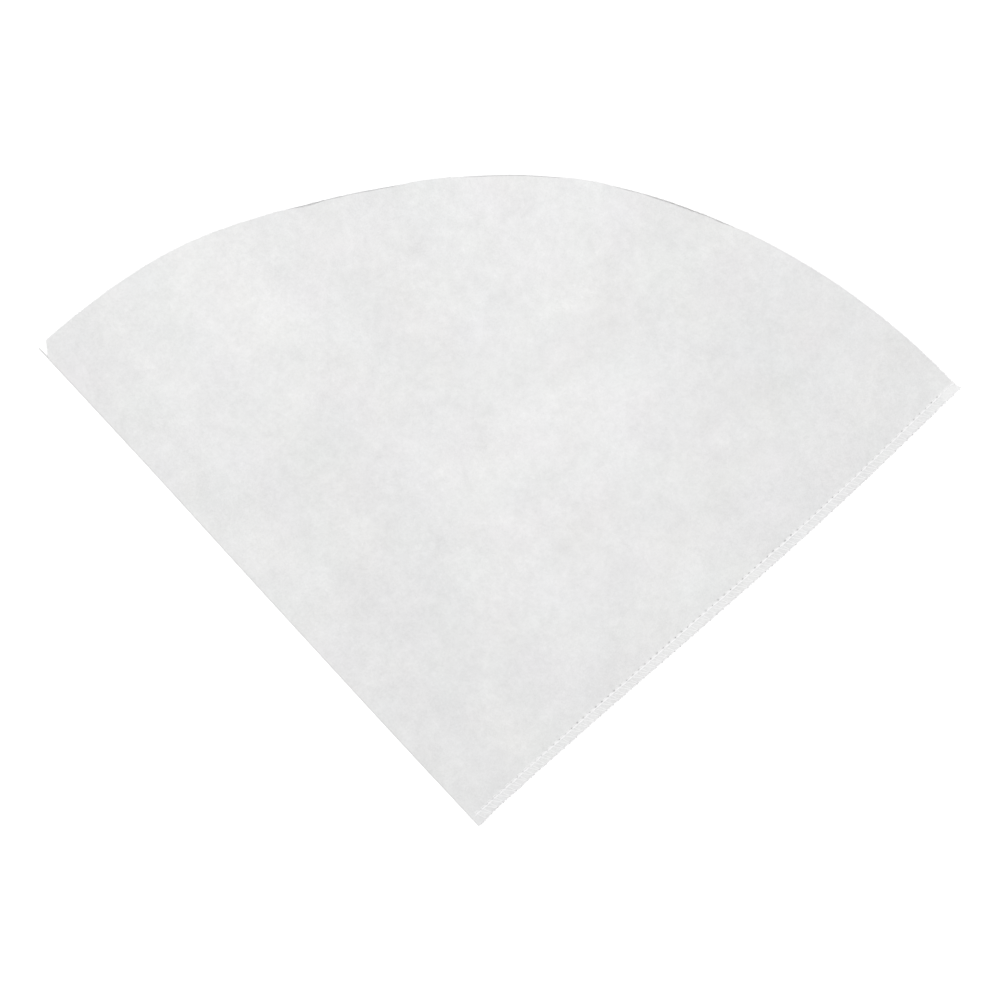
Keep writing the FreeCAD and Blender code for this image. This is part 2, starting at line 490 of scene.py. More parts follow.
# %% Cut the outline and punch the needle holes
NECK = 0.12 * MM
LEG = 0.38 * MM
HALF_STRAND = 0.7 * THREAD
HOLE_SET = 0.2 * MM
HOLE_PULL = 0.38 * MM
HOLE_SPREAD = 0.2 * MM
PUNCH_SIDES = 18

cloth = placed("cloth", net)
cut(cloth, placed("half_disc_cutter", cutter), "INTERSECT")

punches = bmesh.new()
for stitch in stitches:
    row = seam_edge(stitch["s"]) + stitch["row"]
    spread = stitch["open"] * HOLE_SPREAD
    upper_hole = (stitch["s"], row + HOLE_SET + stitch["open"] * HOLE_PULL,
                  2 * NECK + spread, HALF_STRAND + spread)
    lower_hole = (-stitch["s"], row, LEG + HALF_STRAND, HALF_STRAND)
    for u, v, half_length, half_width in (upper_hole, lower_hole):
        place = Matrix.Translation((u, v, 0))
        bmesh.ops.create_cone(
            punches, cap_ends=True, segments=PUNCH_SIDES, radius1=1, radius2=1, depth=MARGIN,
            matrix=place @ Matrix.Diagonal((half_length, half_width, 1, 1)))
cut(cloth, placed("needle_punches", punches), "DIFFERENCE")
print(len(cloth.data.polygons), "faces in the punched blank")

# %% [markdown]
# ## Folding the cloth
#
# Soft cloth is never dead flat: two slow waves and a finer one lift the upper layer by
# some tenths of a millimetre, and the needle line is drawn down between the stitches. The
# crease isn't quite straight either. It strays in by a third of a millimetre at the tip
# and again past its middle.

# %% How the cloth departs from flat
SLOW_WAVE = 0.45 * MM
SLOW_SIZE = 70 * MM
SECOND_SIZE = 38 * MM
SECOND_SHARE = 0.6
FINE_WAVE = 0.07 * MM
FINE_SIZE = 11 * MM
FREE_REACH = 25 * MM
PULL_DOWN = 0.05 * MM
PULL_REACH = 0.9 * MM
CREASE_WAVE = 0.33 * MM
CREASE_REACH = 15 * MM
TIP_STRAY = 0.12
LATE_STRAY = 0.76
LATE_STRAY_REACH = 0.2


def seam_pull(s, d):
    """How far the stitches draw a layer in, most at the needle line between holes."""
    across_row = math.exp(-(((d - seam_edge(s) - BITE) / PULL_REACH) ** 2))
    along_row = 0.6 - 0.4 * math.cos(2 * math.pi * (s - FIRST_HOLE) / STITCH)
    return PULL_DOWN * across_row * along_row


def unevenness(x, d):
    """Slow and fine waves of the soft cloth, none in the pressed strip or at the fold."""
    free = release(d) * smooth(x / FREE_REACH)
    slow = noise.noise(Vector((x, d, 0)) / SLOW_SIZE)
    slow += SECOND_SHARE * noise.noise(Vector((d, x, 9)) / SECOND_SIZE)
    fine = noise.noise(Vector((x, d, 5)) / FINE_SIZE)
    return free * (SLOW_WAVE * slow + FINE_WAVE * fine)


def crease_shift(x, v):
    """How far the crease strays in from a straight line: at the tip, and past the middle."""
    part = v / RADIUS
    stray = math.exp(-((part / TIP_STRAY) ** 2))
    stray += math.exp(-(((part - LATE_STRAY) / LATE_STRAY_REACH) ** 2))
    return CREASE_WAVE * stray * (1 - smooth(x / CREASE_REACH))


print("crease strays", round(crease_shift(0, 0) / MM, 2), "mm at the tip")

# %% [markdown]
# A fold is a bend about a small radius, so a point of the flat cloth goes either on the
# half circle of the fold or on one of the two flat runs after it. The layers lie pressed
# together beside the seam, on top of the lower threads, and rest on the table elsewhere.
# A simulation could fold the cloth too, but one formula keeps every row of faces in order
# and puts the two rows of holes exactly over each other.

# %% Fold formula
def folded(flat):
    """Where a point (u, v, h) of the flat cloth lies on the seam's axes once folded."""
    u, v, height = flat
    under = SEAM_UNDER * (1 - release(v))
    bend = (SEAM_TOP - under) / 2
    middle = bend - CLOTH / 2
    side = 1 if u > 0 else -1
    turn = abs(u) / middle
    if turn < RIGHT_ANGLE:
        x = bend - (middle + height) * math.cos(turn)
        z = under + bend + side * (middle + height) * math.sin(turn)
        return Vector((x + crease_shift(x, v), v, z))
    x = bend + abs(u) - middle * RIGHT_ANGLE
    x += crease_shift(x, v)
    rise = puff(x - bend, v) + unevenness(x, v) if side > 0 else 0
    pull = -side * seam_pull(x, v)
    return Vector((x, v, under + bend + side * (middle + height) + rise + pull))


print("fold's outer radius at the seam", round((SEAM_TOP - SEAM_UNDER) / 2 / MM, 2), "mm")

# %% [markdown]
# The strip under the stitches gets painted light: its colour is made a little lighter to
# offset the shade that the threads cast on it. Most is painted at the rim end, where thread
# and loose fibre crowd and shade the cloth most. The mark is stored on the points now, while
# their place on the seam is known, and the finish reads it later. Only cut walls and the
# rims of holes stay sharp.

# %% Fold every point, and mark the strip that gets painted light
CUT_ANGLE = math.radians(40)
# Painted light: the strip beside the seam is lightened over this blend, and several times more
# at the rim end.
PAINTED_LIGHT_BLEND = 1.0 * MM
CROWD_PAINTED_LIGHT = 2.5

# This mark says how much painted light the cloth gets, to offset the shade of the threads.
light_painted = cloth.data.attributes.new("light_painted", "FLOAT", "POINT")
for vertex, mark in zip(cloth.data.vertices, light_painted.data):
    place = folded(vertex.co)
    mark.value = 1 - smooth((place.y - seam_edge(place.x) - BITE) / PAINTED_LIGHT_BLEND)
    mark.value *= 1 + CROWD_PAINTED_LIGHT * smooth((place.x - RADIUS + CROWD_REACH) / PAINTED_LIGHT_BLEND)
    vertex.co = in_frame(place.x, place.y, max(place.z, 0))
cloth.data.polygons.foreach_set("use_smooth", [True] * len(cloth.data.polygons))
cloth.data.set_sharp_from_angle(angle=CUT_ANGLE)
cloth.data.update()
print("cloth box", [round(v / MM, 1) for v in cloth.bound_box[0]],
      [round(v / MM, 1) for v in cloth.bound_box[6]])

# %% [markdown]
# ## The three threads
#
# An overlock seam is made by one needle thread and two looper threads. The needle thread
# runs along the top and drops a loop through every hole. The upper looper thread lies on
# top in long slanting legs: each is held under the needle thread on the inner side and is
# hooked round the cut edge on the outer side. The lower looper thread does the same
# underneath, caught in the needle's loops, and the two hooks link at the edge.
#
# A route is a list of corners. Rounding it needs care: a spline through
# corners this close would swing wide, so each corner gets a near neighbour on both sides.

# %% From corners to an even line
BEND_EASE = 0.2 * MM


def eased(corners):
    """The route with a point put close before and after each corner, so bends stay tight."""
    route = [corners[0]]
    for before, corner, after in zip(corners, corners[1:], corners[2:]):
        for end in (before, after):
            reach = min(BEND_EASE / (end - corner).length, 0.4)
            route.append(corner.lerp(end, reach))
            if end is before:
                route.append(corner)
    return route + [corners[-1]]


def spline_line(route):
    """Points along the smooth spline that has the route as its control points."""
    curve = bpy.data.curves.new("route", "CURVE")
    curve.dimensions = "3D"
    spline = curve.splines.new("NURBS")
    spline.points.add(len(route) - 1)
    for point, place in zip(spline.points, route):
        point.co = (*place, 1)
    spline.order_u = 3
    spline.use_endpoint_u = True
    spline.resolution_u = 6
    holder = bpy.data.objects.new("route", curve)
    mesh = bpy.data.meshes.new_from_object(holder)
    line = [v.co.copy() for v in mesh.vertices]
    bpy.data.objects.remove(holder)
    bpy.data.curves.remove(curve)
    bpy.data.meshes.remove(mesh)
    return line


def even_steps(line, step):
    """The same line with its points a fixed step apart."""
    points = [line[0]]
    left = step
    for start, end in zip(line, line[1:]):
        span = (end - start).length
        gone = 0.0
        while span - gone >= left:
            gone += left
            points.append(start.lerp(end, gone / span))
            left = step
        left -= span - gone
    return points


# %% [markdown]
# Sewing thread is three plies twisted together. A curve swept with a three-lobed section
# that turns as it goes gives all three plies in one closed skin. The turn is kept within
# one full circle, because a curve loses the fine steps of a very large tilt. The same
# sweep with a plain three-sided section makes single fibres later.

# %% Sweep along many lines
def section_object(width, sides, lobe):
    """A closed curve with three lobes, or a plain polygon where lobe is 0."""
    curve = bpy.data.curves.new("section", "CURVE")
    outline = curve.splines.new("POLY")
    outline.points.add(sides - 1)
    outline.use_cyclic_u = True
    for k, point in enumerate(outline.points):
        angle = 2 * math.pi * k / sides
        radius = width / 2 * (1 - lobe + lobe * math.cos(3 * angle))
        point.co = (radius * math.cos(angle), radius * math.sin(angle), 0, 1)
    return bpy.data.objects.new("section", curve)


def swept(name, lines, width, sides, lobe=0.0, turn=0.0, loft=None):
    """Each line swept with the section, which turns and swells from point to point."""
    section = section_object(width, sides, lobe)
    curve = bpy.data.curves.new(name, "CURVE")
    curve.dimensions = "3D"
    for line in lines:
        spline = curve.splines.new("POLY")
        spline.points.add(len(line) - 1)
        for k, (point, place) in enumerate(zip(spline.points, line)):
            point.co = (*place, 1)
            point.tilt = turn * k % (2 * math.pi)
            point.radius = loft[k] if loft else 1.0
    curve.bevel_mode = "OBJECT"
    curve.bevel_object = section
    curve.use_fill_caps = True
    holder = bpy.data.objects.new(name + "_curve", curve)
    bpy.context.collection.objects.link(holder)
    graph = bpy.context.evaluated_depsgraph_get()
    mesh = bpy.data.meshes.new_from_object(holder.evaluated_get(graph))
    bpy.data.objects.remove(holder)
    bpy.data.objects.remove(section)
    skin = bmesh.new()
    skin.from_mesh(mesh)
    bmesh.ops.remove_doubles(skin, verts=skin.verts[:], dist=0.001 * MM)
    bmesh.ops.recalc_face_normals(skin, faces=skin.faces[:])
    for face in skin.faces:
        face.smooth = lobe > 0
    return placed(name, skin)


# %% [markdown]
# Heights are counted in thread widths from the top or the underside of the pressed
# layers. Tight thread presses into soft cloth, into the other threads, and flat on top, so
# what stands above the cloth is squeezed to less than half its height.

# %% Sewn threads
RING_STEP = 0.13 * MM
SECTION_POINTS = 12
PLY_TURN = 4.0
PLY_DEPTH = 0.15
THREAD_PRESS = 0.38

thread_lines = []


def pressed_height(z):
    """Height of a point of thread once its tension has pressed it on to the cloth."""
    return z if z < SEAM_TOP else SEAM_TOP + THREAD_PRESS * (z - SEAM_TOP)


def sewn_thread(name, corners, width, loft_at=None):
    """A twisted thread along the route, as a closed mesh in the frame."""
    places = even_steps(spline_line(eased(corners)), RING_STEP)
    loft = [loft_at(place.x) for place in places] if loft_at else None
    points = [in_frame(*place) for place in places]
    thread_lines.append((points, width))
    turn = 2 * math.pi * RING_STEP / (PLY_TURN * width)
    piece = swept(name, [points], width, SECTION_POINTS, PLY_DEPTH, turn, loft)
    for vertex in piece.data.vertices:
        vertex.co.z = pressed_height(vertex.co.z)
    length = len(points) * RING_STEP
    print(name, round(length, 2), "m,", len(piece.data.polygons), "faces")
    return piece


def seam_place(s, d, z):
    return Vector((s, seam_edge(s) + d, z))


print("a ply turns once in", PLY_TURN, "thread widths")

# %% [markdown]
# Spun thread is lofty. The needle thread is drawn tight in each hole, and where nothing
# squeezes it, on its run between two holes, it swells to about three times the width of
# hard-drawn thread. Each hole takes it down on one side and up again on the other, round
# the lower looper. Past the rim it ends in a short cut tail.

# %% Needle thread
TAIL = 1.3 * MM
NEEDLE_LOFT = 3.3
NEEDLE_RUN = SEAM_TOP + 0.25 * THREAD
NEEDLE_LOOP = NEEDLE_LOFT * THREAD / 2
NEEDLE_END = 0.8 * BITE
PINCH = 0.38
PINCH_HOLD = 0.15
PINCH_BLEND = 0.75


def needle_loft(s):
    """Thickness of the needle thread: squeezed in each hole, full between the holes."""
    near = min(abs(s - stitch["s"]) for stitch in stitches)
    return 1 - PINCH * (1 - smooth((near / MM - PINCH_HOLD) / PINCH_BLEND))


corners = []
for stitch in stitches:
    s, row, run = stitch["s"], stitch["row"], NEEDLE_RUN + stitch["lift"]
    for side, height in ((-NECK, run), (-LEG, NEEDLE_LOOP), (LEG, NEEDLE_LOOP), (NECK, run)):
        corners.append(seam_place(s + side, row, height))
corners.append(seam_place(RADIUS + TAIL / 2, NEEDLE_END, NEEDLE_RUN))
needle_thread = sewn_thread("needle_thread_plies", corners, NEEDLE_LOFT * THREAD, needle_loft)

# %% [markdown]
# The upper looper lies half sunk in the cloth. Each stitch adds a short run inside the
# needle line, a long leg out to the edge, a hook round it, and a long leg back.

# %% Regular loops of the upper looper
LOOPER_LOFT = 1.4
HOOK = 0.25 * MM
MIDDLE_ROW = -1.4 * THREAD
UPPER_LYING = SEAM_TOP - 0.15 * THREAD
BIGHT_LYING = SEAM_TOP - 0.3 * THREAD
SLACK_RISE = 0.4 * THREAD
BIGHT_RUN = 0.8 * MM

corners = []
for before, stitch in zip([None] + stitches, stitches):
    if stitch["s"] > RADIUS - CROWD_REACH:
        break
    if before:
        between = (before["s"] + stitch["s"]) / 2
        lying = BIGHT_LYING + SLACK_RISE * stitch["slack"]
        corners.append(seam_place(between - BIGHT_RUN, stitch["bight"], lying))
        corners.append(seam_place(between + BIGHT_RUN / 2, stitch["bight"], lying))
    for side, height in ((-HOOK, UPPER_LYING + stitch["lift"]), (-HOOK, SEAM_MIDDLE),
                         (HOOK, SEAM_MIDDLE), (HOOK, UPPER_LYING)):
        corners.append(seam_place(stitch["hook"] + side, MIDDLE_ROW, height))
print(len(corners), "corners before the rim end")

# %% [markdown]
# At the rim end the machine ran off the cloth, the feed slipped, and the last legs crowd
# together into a small white mass. They lean towards the rim and get shorter where the
# corner narrows. Every second one lies a little higher, on top of its neighbours.

# %% Crowded loops at the rim end
CROWD_LOOPS = 9
CROWD_STEP = 0.9 * MM
CROWD_LEAN = 1.2 * MM
CROWD_TURN = 0.22 * MM
CROWD_RISE = 0.25 * THREAD
FIRST_CROWD_LOOP = 0.3
THINNING_START = 0.6
INNER_END = 1.08 * BITE
INNER_LOSS = 0.25 * BITE
OUTER_END = -0.9 * THREAD
OUTER_LOSS = 0.5 * THREAD
LOOPER_END = BITE / 4

for k in range(CROWD_LOOPS):
    s = RADIUS - CROWD_REACH + (k + FIRST_CROWD_LOOP) * CROWD_STEP
    thinning = smooth((k - THINNING_START * CROWD_LOOPS) / ((1 - THINNING_START) * CROWD_LOOPS))
    inner_end = INNER_END - INNER_LOSS * thinning
    outer_end = OUTER_END + OUTER_LOSS * thinning
    level = UPPER_LYING + CROWD_RISE * (k % 2)
    for lean, end in ((0, inner_end), (CROWD_LEAN, outer_end)):
        corners.append(seam_place(s + lean - CROWD_TURN, end, level))
        corners.append(seam_place(s + lean + CROWD_TURN, end, level))
corners.append(seam_place(RADIUS + TAIL, LOOPER_END, UPPER_LYING))
upper_looper = sewn_thread("upper_looper_thread_plies", corners, LOOPER_LOFT * THREAD)

# %% [markdown]
# The lower looper is the tightest of the three. Each stitch is caught in the needle's loop
# underneath, comes round the edge, passes over the upper looper's hook and goes back down
# inside it. That link is what keeps the cut edge wrapped.

# %% Lower looper thread
CATCH = 0.2 * MM
OUTER_ROW = -2.4 * THREAD
INNER_ROW = -0.6 * THREAD
LOWER_LYING = SEAM_UNDER - THREAD / 2
LINK_TOP = SEAM_MIDDLE + 1.1 * THREAD

corners = []
for stitch in stitches:
    corners.append(seam_place(stitch["s"], stitch["row"] + CATCH, LOWER_LYING))
    for row, height in ((OUTER_ROW, LOWER_LYING), (OUTER_ROW, LINK_TOP),
                        (INNER_ROW, LINK_TOP), (INNER_ROW, LOWER_LYING)):
        corners.append(seam_place(stitch["hook"], row, height))
corners.append(seam_place(RADIUS + TAIL, INNER_ROW, UPPER_LYING))
lower_looper = sewn_thread("lower_looper_thread_plies", corners, THREAD)
threads = [needle_thread, upper_looper, lower_looper]

# %% [markdown]
# ## Fuzz on the cut edges
#
# Bonded cloth is a mat of loose fibres, so every cut leaves some ends standing out. Up
# close, an edge without them looks like sheet plastic. Each is a three-sided sweep through
# three points, which is enough, because there are thousands. They start inside the flat
# cloth's edge and are folded with it, so they sit right on both layers. The snipped notch
# was cut clean and has none.

# %% Edge fibres
FIBRE = 0.044 * MM
FIBRE_POINTS = 3
FIBRE_SIDES = 3
FIBRE_ROOT = 0.3 * MM
EDGE_FIBRES = 12800
FIBRE_LENGTHS = (0.4, 1.2)
FIBRE_SPREAD = 0.7
FIBRE_CURL = 0.4
FIBRE_RISE = (-0.15, 0.25)

fibre_dice = random.Random(11)
segments = [(start, end)
            for start, end in zip(outline_places, outline_places[1:] + outline_places[:1])
            if start[1] < RADIUS / 2 or abs(start[0] + end[0]) > NICK_WIDTH]
lengths = [math.dist(start, end) for start, end in segments]


def edge_fibre(start, end, length):
    """One bent fibre that leaves the cut edge somewhere between start and end."""
    outward = math.atan2(start[0] - end[0], end[1] - start[1])
    angle = outward + fibre_dice.gauss(0, FIBRE_SPREAD)
    curl = fibre_dice.uniform(-FIBRE_CURL, FIBRE_CURL)
    rise = fibre_dice.uniform(*FIBRE_RISE)
    place = Vector((*start, 0)).lerp(Vector((*end, 0)), fibre_dice.random())
    place -= FIBRE_ROOT * Vector((math.cos(outward), math.sin(outward), 0))
    place.z = fibre_dice.uniform(-0.3, 0.3) * CLOTH
    step = length / (FIBRE_POINTS - 1)
    line = []
    for k in range(FIBRE_POINTS):
        spot = folded(place)
        line.append(in_frame(spot.x, spot.y, max(spot.z, FIBRE / 2)))
        place = place + step * Vector((math.cos(angle), math.sin(angle), rise))
        angle += curl
    return line


edge_lines = [edge_fibre(start, end, fibre_dice.uniform(*FIBRE_LENGTHS) * MM)
              for start, end in fibre_dice.choices(segments, lengths, k=EDGE_FIBRES)]
edge_fuzz = swept("edge_fuzz", edge_lines, FIBRE, FIBRE_SIDES)
print(len(edge_fuzz.data.polygons), "faces of fuzz")

# %% [markdown]
# Spun thread has a halo of hairs too, finer and shorter. They start inside the plies and
# leave them at a slant. Only the two threads on top show theirs.

# %% Thread hairs
HAIR = 0.013 * MM
HAIRS = 2000
HAIR_ROOT = 0.15
HAIR_STARTS = (0.1, 0.3)
HAIR_ENDS = (0.1, 0.25)
HAIR_SLANT = 1.5

hair_dice = random.Random(23)
hair_lines = []
for points, width in thread_lines[:2]:
    for _ in range(HAIRS):
        k = hair_dice.randrange(len(points) - 1)
        along = (points[k + 1] - points[k]).normalized()
        away = Vector([hair_dice.gauss(0, 1) for _ in range(3)]).cross(along).normalized()
        start = points[k] + HAIR_ROOT * width * away
        reach = hair_dice.uniform(*HAIR_STARTS) * MM
        slant = hair_dice.uniform(-HAIR_SLANT, HAIR_SLANT)
        middle = start + reach * (away + along * slant)
        bend = away.cross(along) * hair_dice.uniform(-1, 1)
        end = middle + hair_dice.uniform(*HAIR_ENDS) * MM * (bend + along)
        for place in (start, middle, end):
            place.z = max(pressed_height(place.z), HAIR / 2)
        hair_lines.append([start, middle, end])
thread_hairs = swept("thread_hairs", hair_lines, HAIR, FIBRE_SIDES)
print(len(thread_hairs.data.polygons), "faces of hairs")

# %% [markdown]
# ## Bonded cloth
#
# The cloth has no weave. What shows is the mat itself: faint clouds where more or fewer
# fibres were laid, and single fibres that run in all directions. Procedural noise suits
# it, because nothing in the real mat repeats.

# %% Node helpers
def new_material(name):
    """A material with its node tree, its output's shader and its object coordinates."""
    material = bpy.data.materials.new(name)
    material.use_nodes = True
    tree = material.node_tree
    shader = tree.nodes["Principled BSDF"]
    place = tree.nodes.new("ShaderNodeTexCoord").outputs["Object"]
    return material, tree, shader, place


def noise_texture(tree, place, scale, detail=2.0, roughness=0.5):
    node = tree.nodes.new("ShaderNodeTexNoise")
    node.inputs["Scale"].default_value = scale
    node.inputs["Detail"].default_value = detail
    node.inputs["Roughness"].default_value = roughness
    tree.links.new(place, node.inputs["Vector"])
    return node.outputs


def math_node(tree, operation, first, second):
    """Math on two values, either of which may be a plain number."""
    node = tree.nodes.new("ShaderNodeMath")
    node.operation = operation
    for socket, value in zip(node.inputs, (first, second)):
        if isinstance(value, (int, float)):
            socket.default_value = value
        else:
            tree.links.new(value, socket)
    return node.outputs[0]


def swing(tree, signal, mean, share):
    """The signal's departure from its mean, as a share of the tone."""
    return math_node(tree, "MULTIPLY", math_node(tree, "SUBTRACT", signal, mean), share)


def add_bump(tree, shader, height, strength, distance):
    bump = tree.nodes.new("ShaderNodeBump")
    bump.inputs["Strength"].default_value = strength
    bump.inputs["Distance"].default_value = distance
    tree.links.new(height, bump.inputs["Height"])
    tree.links.new(bump.outputs["Normal"], shader.inputs["Normal"])


def dress(pieces, finish):
    for piece in pieces:
        piece.data.materials.clear()
        piece.data.materials.append(finish)


# %% [markdown]
# A laid fibre is noise stretched to many times its width, with only its ridges kept.
# Several layers of it are turned to different angles. Their paths are bent a little by
# another noise first, so that no two look alike.

# %% Laid fibres, coarse and fine
FIBRE_LAYERS = 5
FIBRE_STRETCH = 16.0
FIBRE_SCALE = 260.0
FIBRE_CUT = 0.52
FINE_LAYERS = 6
FINE_STRETCH = 26.0
FINE_SCALE = 620.0
FINE_CUT = 0.6
BEND_SCALE = 180.0
BEND_SHARE = 0.0012

cloth_finish, tree, shader, place = new_material("bonded_cloth")
bent = tree.nodes.new("ShaderNodeMix")
bent.data_type = "VECTOR"
bent.inputs["Factor"].default_value = BEND_SHARE
tree.links.new(place, bent.inputs["A"])
tree.links.new(noise_texture(tree, place, BEND_SCALE)["Color"], bent.inputs["B"])
bent_place = bent.outputs["Result"]


def turned_place(angle, stretch):
    """Bent coordinates turned in the plane of the cloth, and stretched along one way."""
    node = tree.nodes.new("ShaderNodeMapping")
    node.vector_type = "TEXTURE"
    node.inputs["Rotation"].default_value = (0, 0, angle)
    node.inputs["Scale"].default_value = (1, 1 / stretch, 1)
    tree.links.new(bent_place, node.inputs["Vector"])
    return node.outputs["Vector"]


def laid_fibres(layers, first_angle, stretch, scale, detail, cut_level):
    """Sum of layers of stretched noise, of each only what rises above the cut level."""
    total = None
    for k in range(layers):
        angle = math.pi * k / layers + first_angle
        strands = noise_texture(tree, turned_place(angle, stretch), scale, detail)["Fac"]
        above = math_node(tree, "SUBTRACT", strands, cut_level)
        ridge = math_node(tree, "SMOOTH_MAX", above, 0.0)
        total = ridge if total is None else math_node(tree, "ADD", total, ridge)
    return total


fibres = laid_fibres(FIBRE_LAYERS, 0.2, FIBRE_STRETCH, FIBRE_SCALE, 1.0, FIBRE_CUT)
fine_fibres = laid_fibres(FINE_LAYERS, 0.5, FINE_STRETCH, FINE_SCALE, 0.0, FINE_CUT)
print(FIBRE_LAYERS + FINE_LAYERS, "layers of fibre")

# %% [markdown]
# The clouds are noise whose octaves are all equally strong, from a hand's width down to a
# fifth of a millimetre. Their mapping chooses which clouds fall where. It also makes them
# change ten times more slowly with height, so the puff doesn't stir them. The strip beside
# the seam is painted a little lighter than the rest: painted light against the threads' shade.

# %% Tone of the cloth
CLOTH_COLOUR = 0.818
CLOUD_PLACE = (0.7113, 0.2816, 0)
CLOUD_TURN = math.radians(-129.4)
CLOUD_TALLNESS = 10.0
CLOUD_SCALE = 10.0
CLOUD_OCTAVES = 9.0
CLOUD_TONE = 0.57
FIBRE_MEAN = 0.13
FIBRE_TONE = 0.05
FINE_MEAN = 0.23
FINE_TONE = 0.22
# Painted light on the strip beside the seam, against the shade of the threads.
PAINTED_LIGHT_TONE = 0.033

mapping = tree.nodes.new("ShaderNodeMapping")
mapping.inputs["Location"].default_value = CLOUD_PLACE
mapping.inputs["Rotation"].default_value = (0, 0, CLOUD_TURN)
mapping.inputs["Scale"].default_value = (1, 1, 1 / CLOUD_TALLNESS)
tree.links.new(place, mapping.inputs["Vector"])
clouds = noise_texture(tree, mapping.outputs[0], CLOUD_SCALE, CLOUD_OCTAVES, 1.0)["Fac"]

# Painted light: the strip mark lifts the cloth's colour beside the seam, most at the rim end,
# where the threads shade it.
painted_light_mark = tree.nodes.new("ShaderNodeAttribute")
painted_light_mark.attribute_name = "light_painted"
painted_light_tone = math_node(tree, "MULTIPLY", painted_light_mark.outputs["Fac"], PAINTED_LIGHT_TONE)

tone = swing(tree, clouds, 0.5, CLOUD_TONE)
for part in (swing(tree, fibres, FIBRE_MEAN, FIBRE_TONE),
             swing(tree, fine_fibres, FINE_MEAN, FINE_TONE), painted_light_tone):
    tone = math_node(tree, "ADD", tone, part)
level = math_node(tree, "MULTIPLY", math_node(tree, "ADD", tone, 1.0), CLOTH_COLOUR)
print("mean colour", CLOTH_COLOUR)

# %% [markdown]
# Undyed cloth is never a pure grey. A slow noise tints each channel by about one part in
# eighty either way.

# %% Tint of the cloth
TINT = 0.025
TINT_SCALE = 40.0

split_tint = tree.nodes.new("ShaderNodeSeparateColor")
tree.links.new(noise_texture(tree, place, TINT_SCALE)["Color"], split_tint.inputs["Color"])
colour = tree.nodes.new("ShaderNodeCombineColor")
for channel, stain in zip(colour.inputs, split_tint.outputs):
    tinted = math_node(tree, "MULTIPLY", stain, TINT)
    share = math_node(tree, "ADD", tinted, 1 - TINT / 2)
    tree.links.new(math_node(tree, "MULTIPLY", level, share), channel)
tree.links.new(colour.outputs["Color"], shader.inputs["Base Color"])
print("tint within", TINT / 2)

# %% [markdown]
# The fibres also stand up from the sheet by some hundredths of a millimetre, over a fine
# grain, and their plastic shines a little along their tops.

# %% Relief and shine of the cloth
GRAIN_SCALE = 2600.0
GRAIN_HEIGHT = 0.2
FINE_HEIGHT = 1.2
CLOTH_BUMP = 0.5
CLOTH_RELIEF = 0.12 * MM
CLOTH_ROUGHNESS = 0.96
FIBRE_SHINE = 0.4
CLOTH_SPECULAR = 0.25

grain = noise_texture(tree, place, GRAIN_SCALE, 3.0, 0.6)["Fac"]
height = math_node(tree, "ADD", fibres, math_node(tree, "MULTIPLY", grain, GRAIN_HEIGHT))
height = math_node(tree, "ADD", height, math_node(tree, "MULTIPLY", fine_fibres, FINE_HEIGHT))
add_bump(tree, shader, height, CLOTH_BUMP, CLOTH_RELIEF)
shine = math_node(tree, "MULTIPLY", fibres, FIBRE_SHINE)
rough = math_node(tree, "SUBTRACT", CLOTH_ROUGHNESS, shine)
tree.links.new(rough, shader.inputs["Roughness"])
shader.inputs["Specular IOR Level"].default_value = CLOTH_SPECULAR
dress([cloth], cloth_finish)
print("bonded cloth:", len(tree.nodes), "nodes")

# %% [markdown]
# ## Sewing thread
#
# Spun thread is whiter than the cloth, and its halo of tiny fibres catches light at every
# slant, which is what sheen does. The plies are in the mesh already, so the finish only
# adds fine hairs and a slight change of tone.

# %% Thread finish
THREAD_COLOUR = 0.985
THREAD_PATCH_SCALE = 500.0
THREAD_TONE = 0.05
THREAD_HAIR_SCALE = 9000.0
THREAD_BUMP = 0.3
THREAD_RELIEF = 0.01 * MM


def grey_level(tree, tone, mean_colour):
    """One grey colour: the mean, changed by the tone."""
    level = math_node(tree, "MULTIPLY", math_node(tree, "ADD", tone, 1.0), mean_colour)
    colour = tree.nodes.new("ShaderNodeCombineColor")
    for channel in colour.inputs:
        tree.links.new(level, channel)
    return colour.outputs["Color"]


thread_finish, tree, shader, place = new_material("sewing_thread")
hairs = noise_texture(tree, place, THREAD_HAIR_SCALE, 3.0, 0.7)["Fac"]
patches = noise_texture(tree, place, THREAD_PATCH_SCALE)["Fac"]
colour = grey_level(tree, swing(tree, patches, 0.5, THREAD_TONE), THREAD_COLOUR)
tree.links.new(colour, shader.inputs["Base Color"])
add_bump(tree, shader, hairs, THREAD_BUMP, THREAD_RELIEF)
rough = math_node(tree, "ADD", 0.5, math_node(tree, "MULTIPLY", hairs, 0.3))
tree.links.new(rough, shader.inputs["Roughness"])
shader.inputs["Sheen Weight"].default_value = 0.8
shader.inputs["Sheen Roughness"].default_value = 0.4
dress(threads, thread_finish)
print("sewing thread:", len(tree.nodes), "nodes")

# %% [markdown]
# ## Loose fibres
#
# A single fibre is clear plastic, so light also comes through it from behind. Mixing a
# translucent part into the finish does that. Without it the fuzz looks grey against the
# cloth.

# %% Fibre finish
FIBRE_COLOUR = 0.97
FIBRE_PATCH_SCALE = 700.0
FIBRE_PATCH_TONE = 0.06
FIBRE_THROUGH = 0.5

